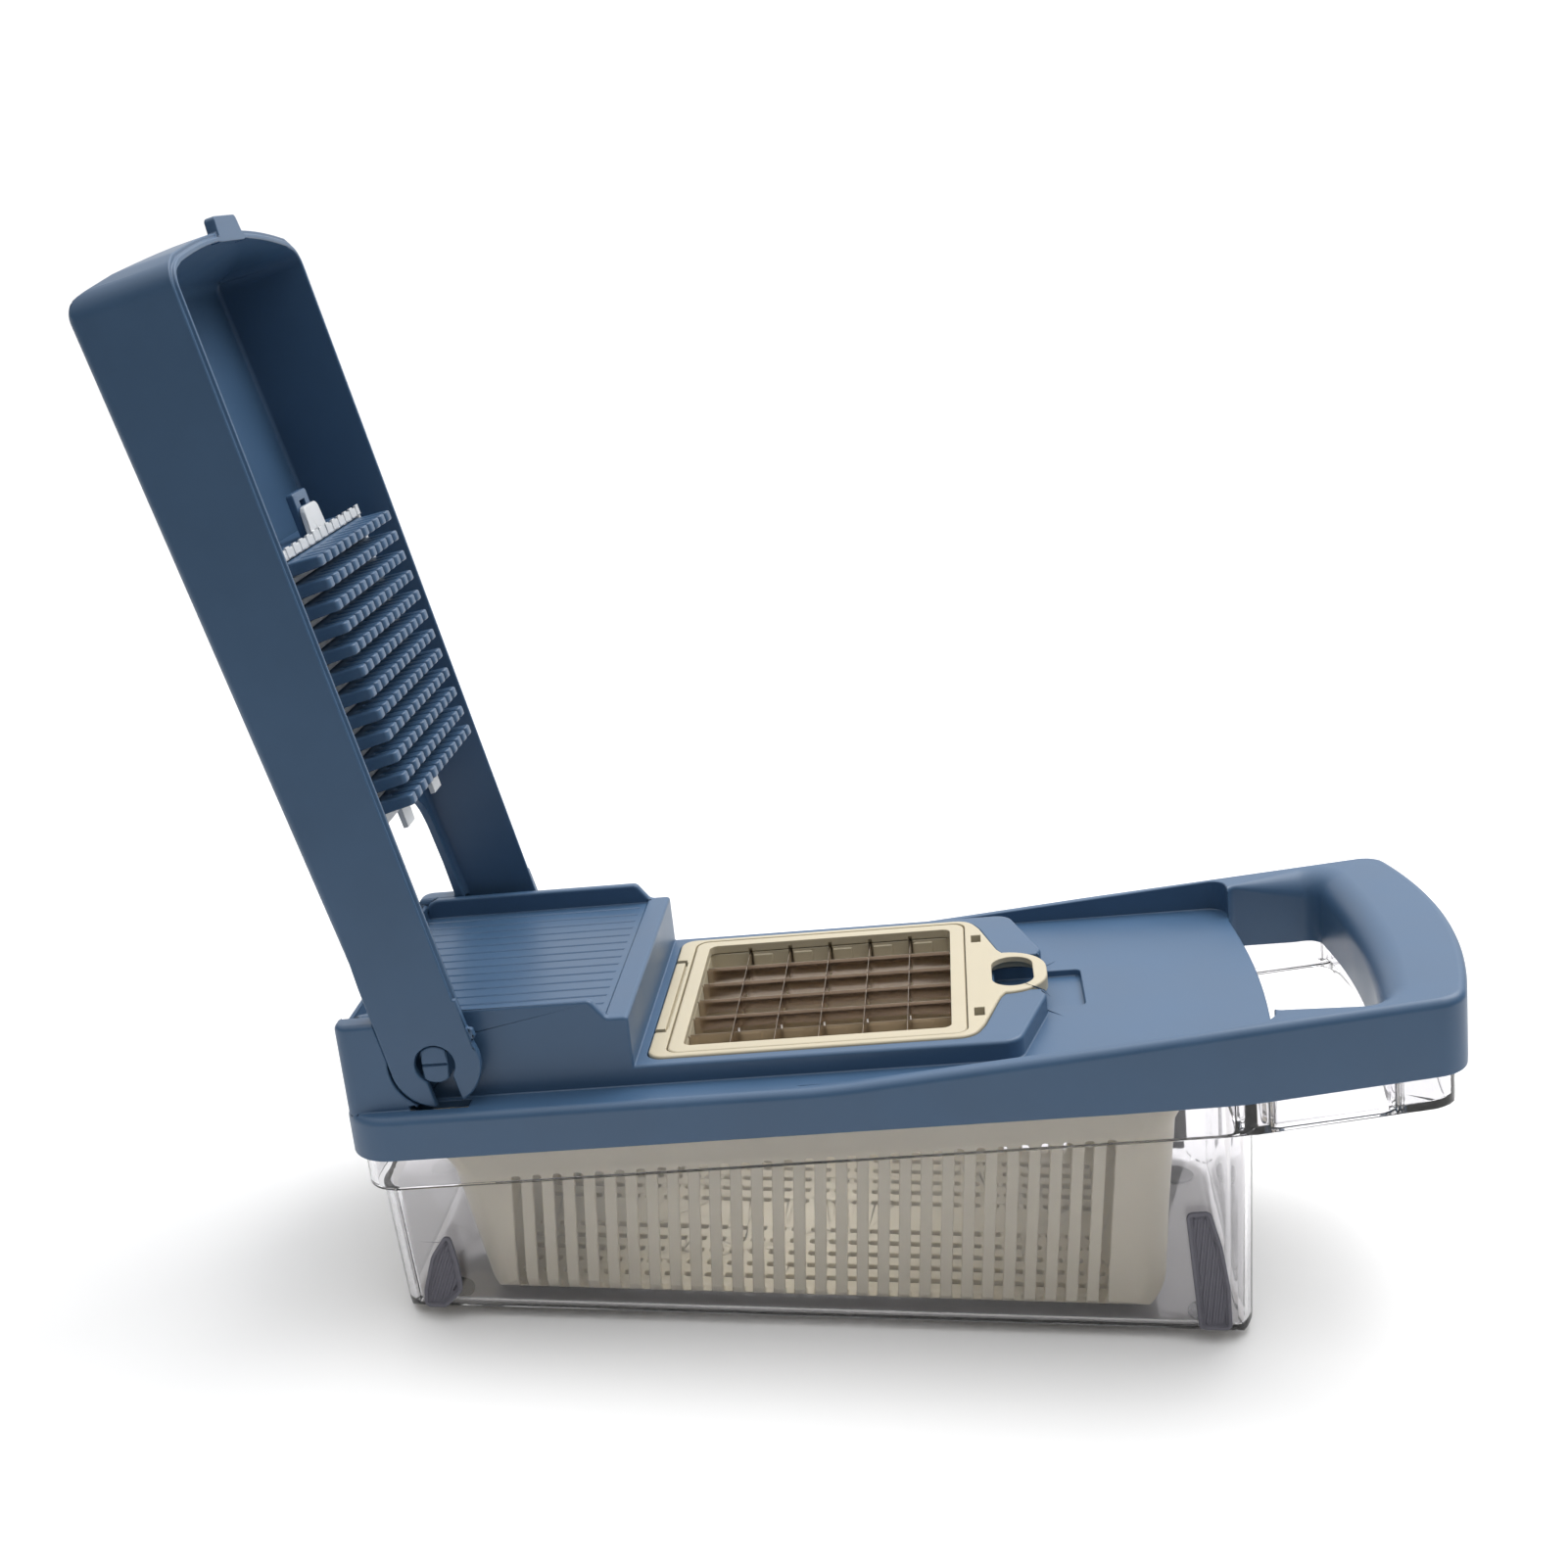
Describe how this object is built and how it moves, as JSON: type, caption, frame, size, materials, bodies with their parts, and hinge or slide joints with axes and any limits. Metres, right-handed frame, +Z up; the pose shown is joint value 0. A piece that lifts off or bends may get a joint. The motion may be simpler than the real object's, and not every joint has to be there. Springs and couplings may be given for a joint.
{
  "type": "vegetable dicer",
  "caption": "Press-arm vegetable dicer: wedge-shaped clear tub with drain basket, lid with blade grid and slicing ramp, hinged arm with pusher teeth.",
  "frame": {"origin": "middle of the bounding box's underside, where the feet stand, with the press arm open", "axes": "+X along the lid towards the carrying handle, +Y to the back, +Z up"},
  "size_m": [0.3796, 0.123, 0.314],
  "materials": {
    "clear_tub": "clear moulded plastic with a faint smoke tint, glossy",
    "foot_rubber": "soft matt",
    "grip_rubber": "soft matt, ribbed",
    "basket_plastic": "satin moulded",
    "blue_plastic": "satin moulded",
    "insert_plastic": "satin moulded",
    "blade_steel": "polished strip",
    "comb_plastic": "milky translucent moulded"
  },
  "bodies": {
    "tub": {"tub": "clear_tub", "foot_front_left": "foot_rubber", "foot_back_left": "foot_rubber", "foot_front_right": "foot_rubber", "foot_back_right": "foot_rubber", "grip_front_left": "grip_rubber", "grip_back_left": "grip_rubber", "grip_front_right": "grip_rubber", "grip_back_right": "grip_rubber"},
    "basket": {"drain_basket": "basket_plastic"},
    "lid": {"lid": "blue_plastic", "insert_frame": "insert_plastic", "blade_retainer": "insert_plastic", "blade_long_1": "blade_steel", "blade_cross_1": "blade_steel", "blade_long_2": "blade_steel", "blade_cross_2": "blade_steel", "blade_long_3": "blade_steel", "blade_cross_3": "blade_steel", "blade_long_4": "blade_steel", "blade_cross_4": "blade_steel", "blade_long_5": "blade_steel", "blade_cross_5": "blade_steel"},
    "press_arm": {"press_arm": "blue_plastic", "tooth_block": "blue_plastic", "cleaning_comb": "comb_plastic"}
  },
  "joints": [
    {"name": "lid_lift", "type": "slide", "parent": "tub", "child": "lid", "axis": [-0.0988, 0, 0.9951], "range_m": [0, 0.12]},
    {"name": "basket_lift", "type": "slide", "parent": "tub", "child": "basket", "axis": [-0.0988, 0, 0.9951], "range_m": [0, 0.06]},
    {"name": "arm_hinge", "type": "hinge", "parent": "lid", "child": "press_arm", "pos_m": [-0.10567, 0, 0.08201], "axis": [0, 1, 0], "range_deg": [0, 101.8]}
  ],
  "couplings": [
    {"joint": "basket_lift", "follows": "lid_lift", "ratio": 0.5}
  ]
}
